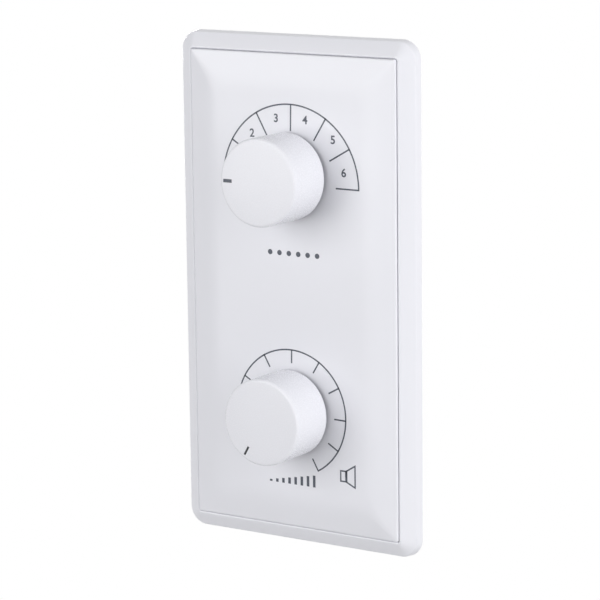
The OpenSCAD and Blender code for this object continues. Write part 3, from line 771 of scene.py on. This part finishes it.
# %% Knob profile
knob_low, knob_top = out_of_wall("program_knob")
knob_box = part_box("program_knob")
knob_r = (knob_box[1].x - knob_box[0].x) / 2 / MM
knob_edge_r, knob_foot_r, knob_wall, knob_face_t = 0.8, 0.2, 1.6, 2.0
taper, hub_r, bore_r, hub_lift = 0.05, 5.5, 3.0, 3.95
rim_steps, foot_steps = 12, 4
rim_hold, skirt_hold = (0.005, 1.3), (0.003, 0.6)
face_r = knob_r - taper
hub_low = face_z + hub_lift
ceiling = knob_top - knob_face_t
rim = (face_r, knob_top)
base = (knob_r, knob_low)
inner_foot = (knob_r - knob_wall, knob_low)
knob_profile = (list(reversed(rounded(base, rim, (0, knob_top), knob_edge_r, rim_steps)))
                + [(face_r + rim_hold[0], knob_top - rim_hold[1]),
                   (knob_r - skirt_hold[0], knob_low + skirt_hold[1])]
                + list(reversed(rounded(inner_foot, base, rim, knob_foot_r, foot_steps)))
                + [inner_foot, (face_r - knob_wall, ceiling), (hub_r, ceiling), (hub_r, hub_low),
                   (bore_r, hub_low), (bore_r, ceiling - easy), (0, ceiling - easy)])
print("knob profile with", len(knob_profile), "points, from %.2f to %.2f mm" % (knob_low, knob_top))

# %% Ribs inside a knob
ribs, given, result = geometry_tree(
    "Knob Ribs", "Knob",
    {"Ribs": 6, "Thickness": 1.0, "Inner Radius": 5.0, "Outer Radius": 12.0, "Low": 0.0, "High": 1.0})
length = math_of(ribs, "SUBTRACT", given["Outer Radius"], given["Inner Radius"])
height = math_of(ribs, "SUBTRACT", given["High"], given["Low"])
middle = math_of(ribs, "MULTIPLY", math_of(ribs, "ADD", given["Outer Radius"], given["Inner Radius"]), 0.5)
level = math_of(ribs, "MULTIPLY", math_of(ribs, "ADD", given["High"], given["Low"]), 0.5)
bar = first_out(ribs, "GeometryNodeMeshCube",
                {"Size": vector_of(ribs, X=length, Y=given["Thickness"], Z=height)})
bar = first_out(ribs, "GeometryNodeTransform",
                {"Geometry": bar, "Translation": vector_of(ribs, X=middle, Z=level)})
index = first_out(ribs, "GeometryNodeInputIndex")
step = math_of(ribs, "DIVIDE", 2 * math.pi, given["Ribs"])
angle = math_of(ribs, "MULTIPLY", math_of(ribs, "ADD", index, 0.5), step)
spokes = copies(ribs, given["Ribs"], bar, Rotation=vector_of(ribs, Z=angle))
end_tree(ribs, join_of(ribs, given["Knob"], spokes), finishes["knob_plastic"], result)
print("rib tree with", len(ribs.nodes), "nodes")

# %% Knobs and pointers
knob_steps = 160
pointer_l, pointer_inset, groove_depth = 3.0, 0.3, 0.5
pointer_room, pointer_sunk = 0.01, 0.02
pointer_tip = face_r - knob_edge_r - pointer_inset
rest_angles = {"program": 180, "volume": 240}
pointer_widths = {"program": 1.05, "volume": 0.7}
pointer_looks = {"program": "pointer_ink", "volume": "black_ink"}
rib_sizes = {"Ribs": 6, "Thickness": 1.0, "Inner Radius": hub_r - bite,
             "Outer Radius": face_r - knob_wall + bite, "Low": hub_low + easy, "High": ceiling + bite}


def pointer_outline(width, shrink=0.0):
    """The pointer along +x, or its groove without shrink."""
    half = width / 2 - shrink
    return oblong(pointer_tip - pointer_l + shrink, -half, pointer_tip - shrink, half)


for control, lift in shafts.items():
    width = pointer_widths[control]
    bm, rings = turned(knob_profile, knob_steps)
    groove = [[bm.verts.new((x, y, z)) for x, y in pointer_outline(width)]
              for z in (knob_top, knob_top - groove_depth)]
    fill(bm, [rings[0], groove[0]])
    bridge(bm, *groove)
    bm.faces.new(groove[1])
    knob = grown(control + "_knob_ribs", ribs, rib_sizes, to_mesh(bm, "knob"))
    pointer = solid(pointer_outline(width, pointer_room), knob_top - groove_depth, knob_top - pointer_sunk)
    for mesh in (knob, pointer):
        mesh.transform(Matrix.Rotation(math.radians(rest_angles[control]), 4, "Z"))
    finished(control + "_knob_skin", knob, control + "_control", "knob_plastic", [control + "_knob"], lift)
    finished(control + "_pointer_ink", pointer, control + "_control", "pointer_ink",
             [control + "_pointer"], lift, look=pointer_looks[control])
    print(control, "knob with", len(knob.polygons), "faces, pointer at", rest_angles[control], "degrees")

# %% [markdown]
# ## The printed scales
# Both scales follow one rule: an arc, and short lines that start on the arc and point at its centre. One
# geometry tree makes them from a radius, a start, a sweep and the points where the lines start, so the two
# dials are the same tree with other values. Each line turns by the angle of its own point, so the points can
# be a little uneven, as they are on the real print. The ink is a thin film on the plate's face.

# %% Scale tree
ink_t, line_w, arc_points = 0.03, 0.45, 160
scale, given, result = geometry_tree(
    "Dial Scale", "Line Starts",
    {"Radius": 20.0, "Start": 0.0, "Sweep": 3.0, "Line Length": 4.0, "Line Width": line_w, "Ink": ink_t})
curve = first_out(scale, "GeometryNodeCurveArc",
                  {"Resolution": arc_points, "Radius": given["Radius"],
                   "Start Angle": given["Start"], "Sweep Angle": given["Sweep"]})
curve = flat_strip(scale, curve, given["Line Width"], given["Ink"])
size = vector_of(scale, X=given["Line Length"], Y=given["Line Width"], Z=given["Ink"])
line = first_out(scale, "GeometryNodeMeshCube", {"Size": size})
reach = math_of(scale, "SUBTRACT", given["Line Width"], given["Line Length"])
inwards = vector_of(scale, X=math_of(scale, "MULTIPLY", reach, 0.5))
line = first_out(scale, "GeometryNodeTransform", {"Geometry": line, "Translation": inwards})
start_point = first_out(scale, "GeometryNodeInputPosition")
sides = add(scale, "ShaderNodeSeparateXYZ", {0: start_point}).outputs
angle = math_of(scale, "ARCTAN2", sides["Y"], sides["X"])
lines = first_out(scale, "GeometryNodeInstanceOnPoints",
                  {"Points": given["Line Starts"], "Instance": line, "Rotation": vector_of(scale, Z=angle)})
end_tree(scale, join_of(scale, curve, lines), finishes["pointer_ink"], result)
print("scale tree with", len(scale.nodes), "nodes")

# %% Print both scales
ink_sunk = 0.005
print_z = face_z + ink_t / 2 - ink_sunk
program_centre, volume_centre = (0.43, 32.95), (-0.11, -35.73)
program_angles = [0, 29.7, 58.1, 88.7, 119.4, 148.9, 180]
volume_angles = [-60.9, -31.1, -1.1, 28.9, 58.6, 88.9, 119.6, 150.0, 180, 210, 240]
for control, centre, radius, angles, length in (("program", program_centre, 23.69, program_angles, 8.05),
                                                ("volume", volume_centre, 19.12, volume_angles, 4.25)):
    starts = bpy.data.meshes.new("starts")
    starts.from_pydata([(*on_ring(radius, angle), 0) for angle in angles], [], [])
    values = {"Radius": radius, "Start": math.radians(angles[0]),
              "Sweep": math.radians(angles[-1] - angles[0]),
              "Line Length": length, "Line Width": line_w, "Ink": ink_t}
    mesh = grown(control + "_scale", scale, values, starts)
    mesh.transform(Matrix.Translation((*centre, print_z)))
    finished(control + "_scale_print", mesh, "panel", "pointer_ink")
    print(control, "scale with", len(angles), "lines and", len(mesh.polygons), "faces")

# %% [markdown]
# ## The numbers
# The six program positions are numbered inside their sectors, upright and small. Blender's own text object
# makes the digits; it becomes a mesh before it is placed, because a piece keeps its place in its mesh. The
# places are radius and angle about the dial's centre, a little uneven as they are on the real print.

# %% Numbers
number_h, number_bolder = 3.45, 0.07
number_places = [(19.5, 162.5), (19.53, 132.5), (19.84, 103.6), (20.04, 74.2), (20.57, 43.1), (19.18, 14.0)]
digits = []
for position, place in enumerate(number_places, 1):
    text = bpy.data.curves.new("digit", "FONT")
    text.body = str(position)
    text.size = number_h
    text.align_x = "CENTER"
    text.align_y = "CENTER"
    text.extrude = ink_t / 2
    text.offset = number_bolder
    holder = placed("digit", text)
    bpy.context.view_layer.update()
    mesh = evaluated(holder)
    x, y = (middle + away for middle, away in zip(program_centre, on_ring(*place)))
    mesh.transform(Matrix.Translation((x, y, print_z)))
    digits.append(mesh)
finished("program_numbers_print", joined("numbers", digits), "panel", "pointer_ink")
print("numbers 1 to 6, %.1f mm letter size" % number_h)

# %% [markdown]
# ## The signs under the dials
# Plain signs say what each dial does: six spots in a row for the choice of programs, rising bars for the
# volume, and the usual loudspeaker outline at the loud end of the scale. Spots and bars repeat by a rule, so
# one geometry tree places them and lets them grow; the loudspeaker is a few strokes with mitred corners.

# %% Sign tree
signs, given, result = geometry_tree(
    "Sign Row", "Shape", {"Count": 6, "Pitch": 3.0, "First Height": 1.0, "Growth": 0.0})
span = math_of(signs, "MULTIPLY", math_of(signs, "ADD", given["Count"], -1.0), given["Pitch"])
start = vector_of(signs, X=math_of(signs, "MULTIPLY", span, -0.5))
index = first_out(signs, "GeometryNodeInputIndex")
tall = math_of(signs, "MULTIPLY_ADD", index, given["Growth"], given["First Height"])
marks = copies(signs, given["Count"], given["Shape"], start, vector_of(signs, X=given["Pitch"]),
               Scale=vector_of(signs, X=1.0, Y=tall, Z=1.0))
end_tree(signs, marks, finishes["pointer_ink"], result)
print("sign tree with", len(signs.nodes), "nodes")

# %% Spots and bars
low, high = -ink_t / 2, ink_t / 2
spot_r, spot_steps, bar_half = 0.8, 16, 0.45
spot = solid(circle((0, 0), spot_r, spot_steps), low, high)
bar = solid(oblong(-bar_half, 0, bar_half, 1), low, high)
spot_row = {"Count": 6, "Pitch": 3.3, "First Height": 1.0, "Growth": 0.0}
bar_row = {"Count": 8, "Pitch": 2.2, "First Height": 0.6, "Growth": 0.43}
for control, shape, sizes, middle in (("program", spot, spot_row, (1.34, 12.4)),
                                      ("volume", bar, bar_row, (0.03, -57.7))):
    mesh = grown(control + "_sign", signs, sizes, shape)
    mesh.transform(Matrix.Translation((*middle, print_z)))
    finished(control + "_sign_print", mesh, "panel", "pointer_ink")
    print(control, "sign with", sizes["Count"], "marks")

# %% Loudspeaker
sharpest_mitre = 0.3


def mitred(points, width, closed):
    """The two edges of a stroke along points, as (left, right) outlines with mitred corners."""
    points = [Vector(p) for p in points]
    count = len(points)
    left, right_side = [], []
    for i, p in enumerate(points):
        before = points[i - 1] if closed or i else p - (points[1] - p)
        after = points[(i + 1) % count] if closed or i < count - 1 else p + (p - points[i - 1])
        one = (p - before).normalized()
        two = (after - p).normalized()
        normal = Vector((-(one + two).y, (one + two).x)).normalized()
        reach_out = width / 2 / max(normal.dot(Vector((-one.y, one.x))), sharpest_mitre)
        left.append(tuple(p + normal * reach_out))
        right_side.append(tuple(p - normal * reach_out))
    return left, right_side


def stroke_mesh(points, width, closed=True):
    """A printed stroke along points."""
    left, right_side = mitred(points, width, closed)
    if closed:
        return between(left, right_side, low, high)
    return solid(left + list(reversed(right_side)), low, high)


throat_w = 0.75
cone = [(18.95, -54.5), (22.1, -56.0), (22.1, -49.4), (18.95, -51.35)]
magnet = oblong(17.1, -54.5, 18.95, -51.35)
throat = [(19.05, -54.7), (19.05, -51.15)]
speaker = joined("speaker", [stroke_mesh(cone, line_w), stroke_mesh(magnet, line_w),
                             stroke_mesh(throat, throat_w, closed=False)])
speaker.transform(Matrix.Translation((0, 0, print_z)))
finished("loudspeaker_sign_print", speaker, "panel", "pointer_ink")
print("loudspeaker with", len(speaker.polygons), "faces")

# %% [markdown]
# ## Solder and end caps
# From behind, each board shows what holds it together. Every pin ends in a cone of solder with a hollow
# flank, which is a lathe shape. Pins stand on a circle or in a row, so a geometry tree sets the same cone on
# a circle by a count, a radius and a step, and the sign tree above does the row. The bright end caps of the
# chip resistors go round in the same way.

# %% Round row tree
round_row, given, result = geometry_tree(
    "Round Row", "Shape", {"Count": 1, "Radius": 8.0, "Start": 0.0, "Step": 0.0, "Material": None})
index = first_out(round_row, "GeometryNodeInputIndex")
angle = math_of(round_row, "MULTIPLY_ADD", index, given["Step"], given["Start"])
shape = first_out(round_row, "GeometryNodeTransform",
                  {"Geometry": given["Shape"], "Translation": vector_of(round_row, X=given["Radius"])})
around = copies(round_row, given["Count"], shape, Rotation=vector_of(round_row, Z=angle))
end_tree(round_row, around, given["Material"], result)


def in_a_ring(shape, count, radius, start, step, look):
    """Copies of a shape round the control's axis, angles in degrees."""
    return grown("ring", round_row, {"Count": count, "Radius": radius, "Start": math.radians(start),
                                     "Step": math.radians(step), "Material": finishes[look]}, shape)


print("round row tree with", len(round_row.nodes), "nodes")

# %% Solder cone
board_back, board_front = out_of_wall("program_board")
pin_r, pad_r, pad_t, solder_h = 0.5, 1.15, 0.05, 0.95
sunk, cap_h, cone_steps = 0.02, 0.04, 24
flank_low, flank_room, pad_rim, hollow, flank_steps = 0.07, 0.06, 0.2, 2.2, 8
flank = []
for i in range(flank_steps + 1):
    rise = i / flank_steps
    flank.append((pin_r + flank_room + (pad_r - pad_rim - pin_r) * (1 - rise) ** hollow,
                  flank_low + (solder_h - flank_low) * rise))
cone_profile = [(0, -sunk), (pad_r, -sunk), (pad_r, pad_t)] + flank + [(0, solder_h + cap_h)]


def solder_cone(side):
    """A joint that stands out of the front (1) or the back (-1) of a board."""
    bm, rings = turned([(r, side * z) for r, z in cone_profile], cone_steps)
    cone = to_mesh(bm, "solder")
    cone.transform(Matrix.Translation((0, 0, board_front if side > 0 else board_back)))
    return cone


print("solder cone with", len(cone_profile), "rings")

# %% Solder joints
contact_r, common_r, terminal_y, terminal_pitch = 8.0, 4.0, 16.5, 5.0
terminal_row = {"Count": 3, "Pitch": terminal_pitch, "First Height": 1.0, "Growth": 0.0}
pin_rings = {"program": [(6, contact_r, 180, -36), (1, common_r, -90, 0)],
             "volume": [(2, contact_r, -115, 50), (1, common_r, -90, 0)]}
for control, lift in shafts.items():
    joints = [in_a_ring(solder_cone(-1), *ring, "tinned_metal") for ring in pin_rings[control]]
    in_a_row = grown("row", signs, terminal_row, solder_cone(1))
    in_a_row.transform(Matrix.Translation((0, terminal_y, 0)))
    joints.append(in_a_row)
    finished(control + "_solder", joined("solder", joints), "panel", "tinned_metal", lift=lift)
    print(control, "solder joints:", terminal_row["Count"] + sum(ring[0] for ring in pin_rings[control]))

# %% Resistor end caps
resistor_r, resistor_l, resistor_w, resistor_t = 13.6, 3.2, 1.6, 0.6
resistor_step = 30
resistor_ring = (5, resistor_r, 210, resistor_step)
skin_t, cap_l = 0.04, 0.5
half = resistor_w / 2 + skin_t
caps = []
for end in (-1, 1):
    outer = end * (resistor_l / 2 + skin_t)
    inner = end * (resistor_l / 2 - cap_l)
    caps.append(solid(oblong(-half, outer, half, inner), board_back - resistor_t - skin_t, board_back + sunk))
caps = in_a_ring(joined("caps", caps), *resistor_ring, "tinned_metal")
finished("program_resistor_caps", caps, "panel", "tinned_metal", lift=shafts["program"])
print("end caps:", len(caps.polygons) // 6)

# %% [markdown]
# ## Tracks and board print
# Copper tracks join the pins to the ladder of resistors and to the terminals. Each is drawn as a line of
# points. A geometry tree rounds its bends and sweeps a thin flat section along it, which is how a track is
# described on a real board too. White print marks the places of the parts, with the same tree and a finer
# line.

# %% Track tree
track_t, bend_steps = 0.04, 6
track_tree, given, result = geometry_tree(
    "Board Track", "Path", {"Width": 0.5, "Thickness": track_t, "Bend": 1.0, "Material": None})
curve = first_out(track_tree, "GeometryNodeMeshToCurve", {"Mesh": given["Path"]})
curve = first_out(track_tree, "GeometryNodeFilletCurve",
                  {"Curve": curve, "Count": bend_steps, "Radius": given["Bend"], "Limit Radius": True},
                  mode="POLY")
strip = flat_strip(track_tree, curve, given["Width"], given["Thickness"])
end_tree(track_tree, strip, given["Material"], result)


def strips(lines, width, bend, look, closed=False):
    """Flat strips on the back of a board along lines of points."""
    points, edges = [], []
    for line in lines:
        first = len(points)
        points += [(x, y, board_back) for x, y in line]
        edges += [(first + i, first + i + 1) for i in range(len(line) - 1)]
        if closed:
            edges.append((len(points) - 1, first))
    paths = bpy.data.meshes.new("paths")
    paths.from_pydata(points, edges, [])
    sizes = {"Width": width, "Thickness": track_t, "Bend": bend, "Material": finishes[look]}
    return grown("strips", track_tree, sizes, paths)


print("track tree with", len(track_tree.nodes), "nodes")

# %% Tracks
track_w, track_bend, lead_r, lead_end = 0.55, 0.8, 11, 194
links, link_angle, link_turn, link_steps = 3, 195, 18, 4
ring_ways = [(144, 15.0, 81, 18), (108, 15.8, 147, 30)]
to_middle = [(0, -common_r), (0, terminal_y)]
to_resistor = [on_ring(contact_r, 180), on_ring(lead_r, 180), on_ring(resistor_r, lead_end)]
to_terminal = [on_ring(contact_r, -115), (-11.5, -5.0), (-13.0, 4.0), (-10.4, 12.6),
               (-terminal_pitch, terminal_y)]
ways = [to_resistor]
for start, radius, turn, steps in ring_ways:
    ways.append([on_ring(contact_r, start)] + arc((0, 0), radius, start, turn, steps)
                + [on_ring(resistor_r, start + turn)])
for i in range(links):
    start = link_angle + resistor_step * i - link_turn / 2
    ways.append(arc((0, 0), resistor_r, start, link_turn, link_steps))
for control, half_ways in (("program", ways), ("volume", [to_terminal])):
    lines = [to_middle]
    for side in (1, -1):
        lines += [[(side * x, y) for x, y in way] for way in half_ways]
    tracks = strips(lines, track_w, track_bend, "board_copper")
    finished(control + "_tracks", tracks, "panel", "board_laminate",
             lift=shafts[control], look="board_copper")
    print(control, "tracks:", len(lines))

# %% Board print
print_w, print_bend = 0.2, 0.1
block_outline = oblong(-8.1, 11.2, 8.1, 20.6)
corner_mark = [(-9.6, 17.2), (-8.7, 16.5), (-9.6, 15.8)]
around_resistor = oblong(-1.3, -2.3, 1.3, 2.3)
for control, lift in shafts.items():
    marks = [strips([block_outline, corner_mark], print_w, print_bend, "board_print", closed=True)]
    if control == "program":
        box = strips([around_resistor], print_w, print_bend, "board_print", closed=True)
        marks.append(in_a_ring(box, *resistor_ring, "board_print"))
    finished(control + "_board_print", joined("marks", marks), "panel", "board_laminate",
             lift=lift, look="board_print")
print("boards marked")

# %% [markdown]
# ## The stage
# The controller hangs on a wall, so the floor is a good metre below it: a round of pale floor that fades into
# the white of the room. A broad soft lamp above and to the left gives the soft shadows beside the knobs, and
# a tall one on the right lights the knobs' sides from top to bottom. No surface mirrors that one, so that
# white sides don't burn out when they are looked at from the right. A small one behind, level with the plate,
# lights only the back. The room itself gives the rest of the light, more from the right and a little more
# from above. What the camera and reflections see of it is plain white.

# %% Floor
floor_drop, floor_r, floor_steps, fade_from = 1.2, 2.4, 96, 0.3


def seen_directly(tree):
    """1 for rays from the camera, a reflection or glass, and 0 for those that only bring light."""
    seen = add(tree, "ShaderNodeLightPath").outputs
    ray = math_of(tree, "MAXIMUM", seen["Is Camera Ray"], seen["Is Glossy Ray"])
    return math_of(tree, "MAXIMUM", ray, seen["Is Transmission Ray"])


bm, rings = turned([(floor_r, 0), (0, 0)], floor_steps)
floor_mesh = to_mesh(bm, "floor", outward=False)
floor_mesh.transform(Matrix.Translation((0, 0, -floor_drop)))
floor = placed("floor", floor_mesh)
paint = bpy.data.materials.new("pale_floor")
paint.use_nodes = True
tree = paint.node_tree
shader = tree.nodes["Principled BSDF"]
shader.inputs["Base Color"].default_value = (0.82, 0.82, 0.82, 1)
shader.inputs["Roughness"].default_value = 0.7
place = add(tree, "ShaderNodeTexCoord").outputs["Object"]
flat = first_out(tree, "ShaderNodeVectorMath", {0: place, 1: (1, 1, 0)}, operation="MULTIPLY")
away = add(tree, "ShaderNodeVectorMath", {0: flat}, operation="LENGTH").outputs["Value"]
fade = first_out(tree, "ShaderNodeMapRange",
                 {"Value": away, "From Min": fade_from * floor_r, "From Max": floor_r},
                 interpolation_type="SMOOTHSTEP")
white = first_out(tree, "ShaderNodeEmission", {"Strength": 1.0})
faded = math_of(tree, "MULTIPLY", seen_directly(tree), fade)
blend = first_out(tree, "ShaderNodeMixShader", {0: faded, 1: shader.outputs[0], 2: white})
tree.links.new(blend, tree.nodes["Material Output"].inputs["Surface"])
floor_mesh.materials.append(paint)
print("floor %.1f m below the middle of the plate" % floor_drop)

# %% Room light
glow_level, glow_from_above, glow_from_right = 0.255, 0.06, 0.21
world = bpy.data.worlds.new("room")
bpy.context.scene.world = world
world.use_nodes = True
tree = world.node_tree
room = tree.nodes["Background"]
direction = add(tree, "ShaderNodeTexCoord").outputs["Generated"]
axes = add(tree, "ShaderNodeSeparateXYZ", {0: direction}).outputs
glow = math_of(tree, "MULTIPLY_ADD", axes["Z"], glow_from_above, glow_level)
glow = math_of(tree, "MULTIPLY_ADD", axes["X"], glow_from_right, glow)
strength = first_out(tree, "ShaderNodeMix", {"Factor": seen_directly(tree), "A": glow, "B": 1.0},
                     data_type="FLOAT")
tree.links.new(strength, room.inputs["Strength"])
room.inputs["Color"].default_value = (1, 1, 1, 1)
print("white room")

# %% Lamps


def soft_lamp(name, turn, lift, away, wide, tall, power, mirrored=True):
    """A lamp aimed at the plate: turn to the right and lift in degrees, then metres, and watts."""
    data = bpy.data.lights.new(name, "AREA")
    data.shape = "ELLIPSE"
    data.size = wide
    data.size_y = tall
    data.energy = power
    lamp = placed(name, data)
    lamp.location = towards(turn, lift) * away
    lamp.rotation_euler = (-lamp.location).to_track_quat("-Z", "Y").to_euler()
    lamp.visible_camera = False
    lamp.visible_glossy = mirrored


soft_lamp("key_lamp", -24, 13, 1.40, 1.21, 1.21, 13.3)
soft_lamp("side_lamp", 83, 13, 1.50, 0.65, 1.80, 18.2, mirrored=False)
soft_lamp("back_lamp", 222, 0, 1.40, 0.40, 0.40, 9.0)
bpy.context.scene.view_settings.view_transform = "Standard"
print("three soft lamps")
